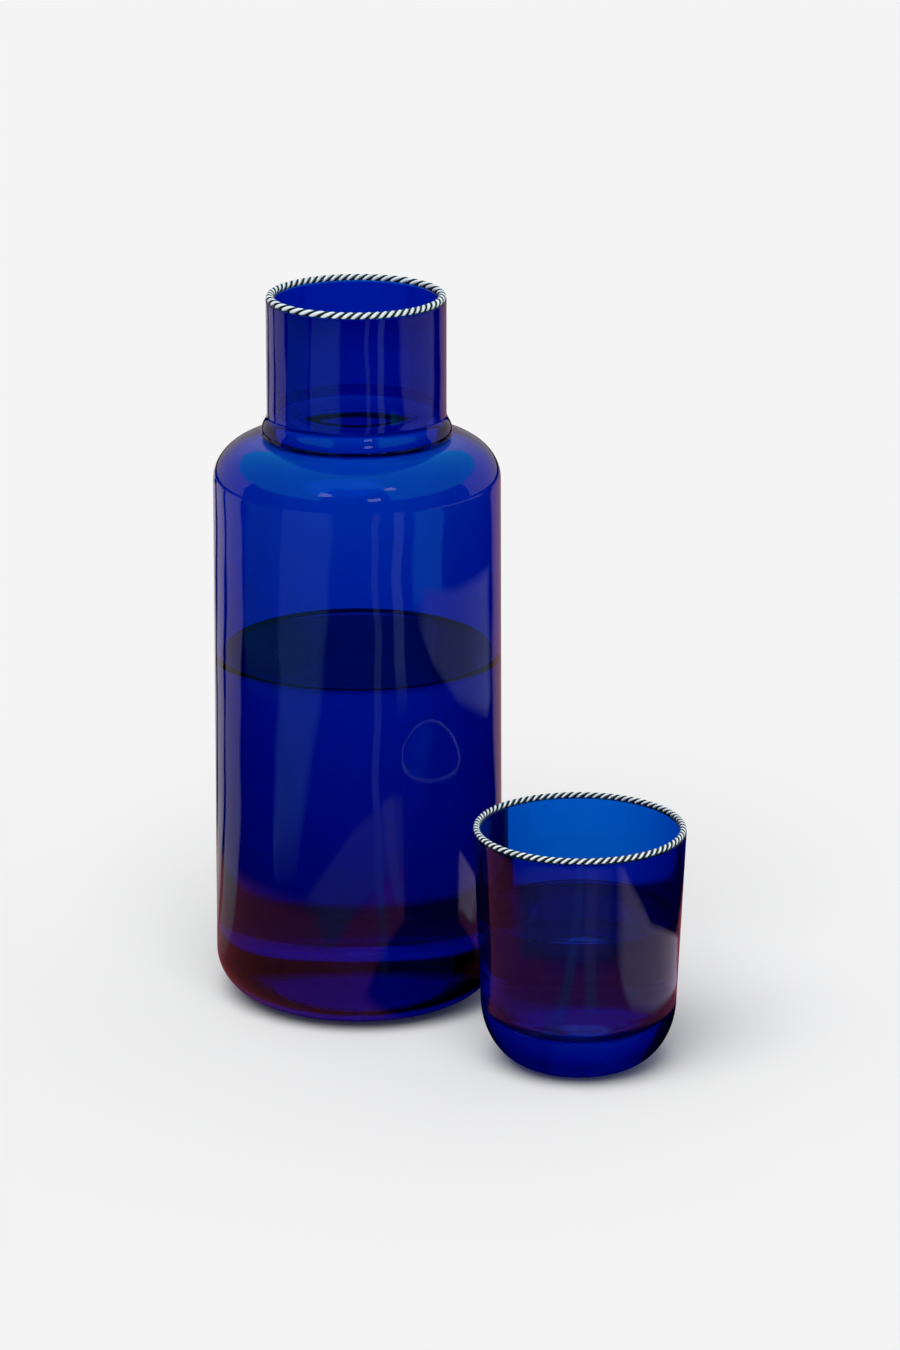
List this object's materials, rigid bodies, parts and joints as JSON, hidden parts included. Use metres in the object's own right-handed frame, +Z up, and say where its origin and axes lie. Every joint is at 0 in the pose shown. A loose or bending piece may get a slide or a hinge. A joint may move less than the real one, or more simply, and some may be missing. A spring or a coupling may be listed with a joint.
{
  "type": "carafe with tumbler",
  "caption": "Blue glass water carafe with a cylindrical body, round shoulder and wide neck, and a matching tumbler, both lips closed by a twisted white and black cane.",
  "frame": {"origin": "centre of the carafe's flat foot, on the table", "axes": "+Z up along the carafe's axis, +X from the carafe's axis to the tumbler's axis"},
  "size_m": [0.1916, 0.1016, 0.2538],
  "materials": {
    "cobalt_glass": "clear cobalt blue, fire-polished",
    "white_cane_glass": "opaque white glass, fire-polished",
    "black_cane_glass": "opaque black glass, fire-polished"
  },
  "bodies": {
    "carafe": {"carafe_body": "cobalt_glass", "carafe_neck": "cobalt_glass", "carafe_rim_white_rod": "white_cane_glass", "carafe_rim_black_thread_1": "black_cane_glass", "carafe_rim_black_thread_2": "black_cane_glass"},
    "tumbler": {"tumbler_body": "cobalt_glass", "tumbler_rim_white_rod": "white_cane_glass", "tumbler_rim_black_thread_1": "black_cane_glass", "tumbler_rim_black_thread_2": "black_cane_glass"}
  },
  "joints": [
    {"name": "tumbler_lift", "type": "slide", "parent": "carafe", "child": "tumbler", "axis": [0, 0, 1], "range_m": [0, 0.3]}
  ]
}
